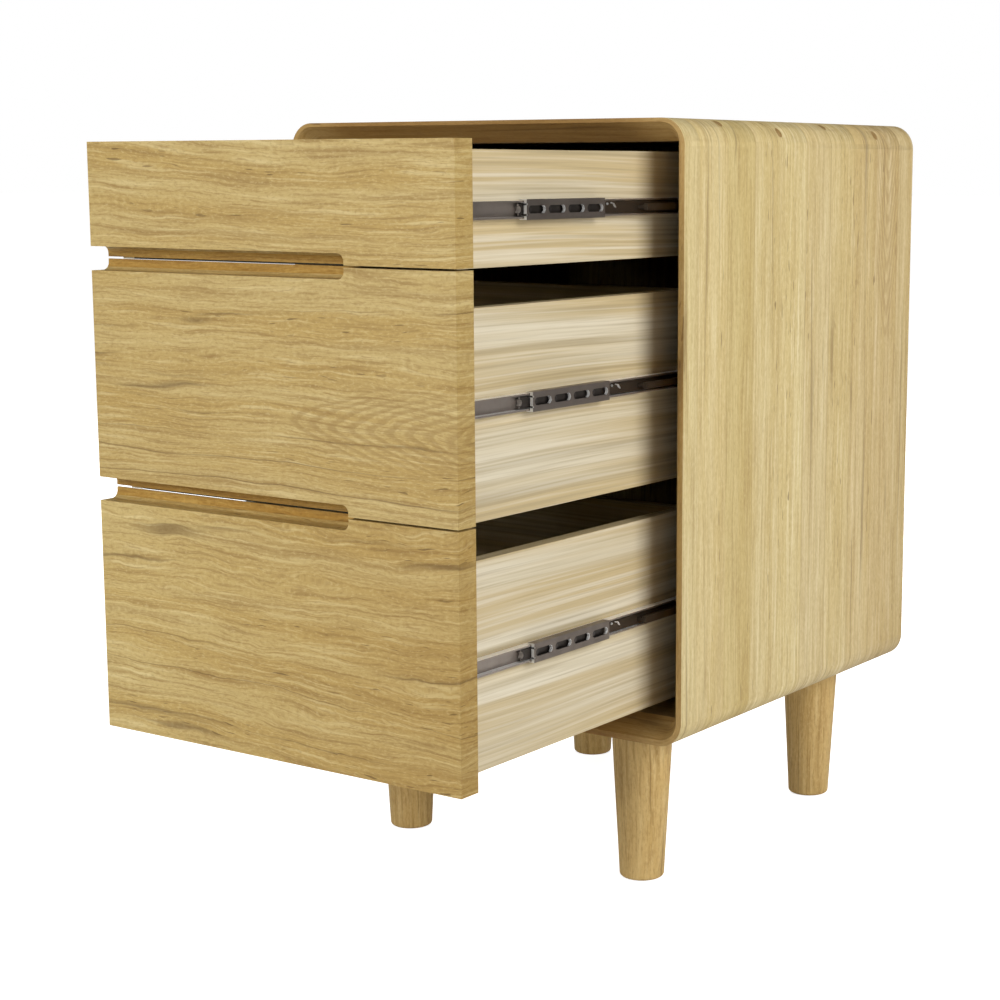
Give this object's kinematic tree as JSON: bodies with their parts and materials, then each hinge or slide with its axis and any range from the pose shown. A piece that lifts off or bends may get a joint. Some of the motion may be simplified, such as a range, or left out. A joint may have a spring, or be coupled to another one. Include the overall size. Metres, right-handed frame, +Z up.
{
  "type": "bedside cabinet",
  "caption": "Oak bedside cabinet with rounded corners, a bevelled mouth, drawers on full-extension ball slides and turned tapered legs.",
  "frame": {"origin": "floor level, under the middle of the cabinet's box with its drawers standing open as at rest", "axes": "+X to the cabinet's right as seen from the front, -Y is the front, towards the user, +Z up"},
  "size_m": [0.381, 0.6176, 0.6],
  "materials": {
    "oak_front": "oiled oak, grain across",
    "oak_carcass": "oiled oak staves, grain upright on the sides",
    "oak_leg": "oiled oak, grain upright",
    "oak_back": "oak-veneered board",
    "oak_pin": "end grain, oiled",
    "beech_dowel": "raw",
    "box_wood": "pale softwood, lacquered",
    "box_bottom_ply": "pale plywood",
    "zinc_steel": "bright zinc plated",
    "slide_steel": "grey plated, satin",
    "cage_steel": "dark grey, satin",
    "brass": "plain"
  },
  "bodies": {
    "cabinet": {"top_panel": "oak_carcass", "bottom_panel": "oak_carcass", "left_side_panel": "oak_carcass", "right_side_panel": "oak_carcass", "back_panel": "oak_back", "corner_pins": "oak_pin", "panel_dowels": "beech_dowel", "back_panel_screws": "zinc_steel", "front_left_leg": "oak_leg", "front_right_leg": "oak_leg", "rear_left_leg": "oak_leg", "rear_right_leg": "oak_leg", "leg_bolts": "zinc_steel", "leg_inserts": "brass", "cabinet_rail_screws": "zinc_steel", "upper_left_cabinet_rail": "slide_steel", "upper_right_cabinet_rail": "slide_steel", "middle_left_cabinet_rail": "slide_steel", "middle_right_cabinet_rail": "slide_steel", "lower_left_cabinet_rail": "slide_steel", "lower_right_cabinet_rail": "slide_steel"},
    "upper_drawer": {"upper_drawer_front": "oak_front", "upper_drawer_left_side": "box_wood", "upper_drawer_right_side": "box_wood", "upper_drawer_inner_front": "box_wood", "upper_drawer_back": "box_wood", "upper_drawer_bottom": "box_bottom_ply", "upper_drawer_screws": "zinc_steel", "upper_left_drawer_rail": "slide_steel", "upper_right_drawer_rail": "slide_steel"},
    "upper_middle_rails": {"upper_left_middle_rail": "slide_steel", "upper_right_middle_rail": "slide_steel"},
    "upper_inner_cages": {"upper_inner_ball_cages": "cage_steel"},
    "upper_outer_cages": {"upper_outer_ball_cages": "cage_steel"},
    "middle_drawer": {"middle_drawer_front": "oak_front", "middle_drawer_left_side": "box_wood", "middle_drawer_right_side": "box_wood", "middle_drawer_inner_front": "box_wood", "middle_drawer_back": "box_wood", "middle_drawer_bottom": "box_bottom_ply", "middle_drawer_screws": "zinc_steel", "middle_left_drawer_rail": "slide_steel", "middle_right_drawer_rail": "slide_steel"},
    "middle_middle_rails": {"middle_left_middle_rail": "slide_steel", "middle_right_middle_rail": "slide_steel"},
    "middle_inner_cages": {"middle_inner_ball_cages": "cage_steel"},
    "middle_outer_cages": {"middle_outer_ball_cages": "cage_steel"},
    "lower_drawer": {"lower_drawer_front": "oak_front", "lower_drawer_left_side": "box_wood", "lower_drawer_right_side": "box_wood", "lower_drawer_inner_front": "box_wood", "lower_drawer_back": "box_wood", "lower_drawer_bottom": "box_bottom_ply", "lower_drawer_screws": "zinc_steel", "lower_left_drawer_rail": "slide_steel", "lower_right_drawer_rail": "slide_steel"},
    "lower_middle_rails": {"lower_left_middle_rail": "slide_steel", "lower_right_middle_rail": "slide_steel"},
    "lower_inner_cages": {"lower_inner_ball_cages": "cage_steel"},
    "lower_outer_cages": {"lower_outer_ball_cages": "cage_steel"}
  },
  "joints": [
    {"name": "upper_drawer_slide", "type": "slide", "parent": "cabinet", "child": "upper_drawer", "axis": [0, -1, 0], "range_m": [-0.266, 0.034]},
    {"name": "upper_middle_rails_slide", "type": "slide", "parent": "cabinet", "child": "upper_middle_rails", "axis": [0, -1, 0], "range_m": [-0.20848, 0.02752]},
    {"name": "upper_inner_cages_slide", "type": "slide", "parent": "cabinet", "child": "upper_inner_cages", "axis": [0, -1, 0], "range_m": [-0.23774, 0.03126]},
    {"name": "upper_outer_cages_slide", "type": "slide", "parent": "cabinet", "child": "upper_outer_cages", "axis": [0, -1, 0], "range_m": [-0.10474, 0.01426]},
    {"name": "middle_drawer_slide", "type": "slide", "parent": "cabinet", "child": "middle_drawer", "axis": [0, -1, 0], "range_m": [-0.266, 0.034]},
    {"name": "middle_middle_rails_slide", "type": "slide", "parent": "cabinet", "child": "middle_middle_rails", "axis": [0, -1, 0], "range_m": [-0.20848, 0.02752]},
    {"name": "middle_inner_cages_slide", "type": "slide", "parent": "cabinet", "child": "middle_inner_cages", "axis": [0, -1, 0], "range_m": [-0.23774, 0.03126]},
    {"name": "middle_outer_cages_slide", "type": "slide", "parent": "cabinet", "child": "middle_outer_cages", "axis": [0, -1, 0], "range_m": [-0.10474, 0.01426]},
    {"name": "lower_drawer_slide", "type": "slide", "parent": "cabinet", "child": "lower_drawer", "axis": [0, -1, 0], "range_m": [-0.266, 0.034]},
    {"name": "lower_middle_rails_slide", "type": "slide", "parent": "cabinet", "child": "lower_middle_rails", "axis": [0, -1, 0], "range_m": [-0.20848, 0.02752]},
    {"name": "lower_inner_cages_slide", "type": "slide", "parent": "cabinet", "child": "lower_inner_cages", "axis": [0, -1, 0], "range_m": [-0.23774, 0.03126]},
    {"name": "lower_outer_cages_slide", "type": "slide", "parent": "cabinet", "child": "lower_outer_cages", "axis": [0, -1, 0], "range_m": [-0.10474, 0.01426]}
  ],
  "couplings": [
    {"joint": "upper_middle_rails_slide", "follows": "upper_drawer_slide", "ratio": 0.78},
    {"joint": "upper_inner_cages_slide", "follows": "upper_drawer_slide", "ratio": 0.89},
    {"joint": "upper_outer_cages_slide", "follows": "upper_drawer_slide", "ratio": 0.39},
    {"joint": "middle_middle_rails_slide", "follows": "middle_drawer_slide", "ratio": 0.78},
    {"joint": "middle_inner_cages_slide", "follows": "middle_drawer_slide", "ratio": 0.89},
    {"joint": "middle_outer_cages_slide", "follows": "middle_drawer_slide", "ratio": 0.39},
    {"joint": "lower_middle_rails_slide", "follows": "lower_drawer_slide", "ratio": 0.78},
    {"joint": "lower_inner_cages_slide", "follows": "lower_drawer_slide", "ratio": 0.89},
    {"joint": "lower_outer_cages_slide", "follows": "lower_drawer_slide", "ratio": 0.39}
  ]
}
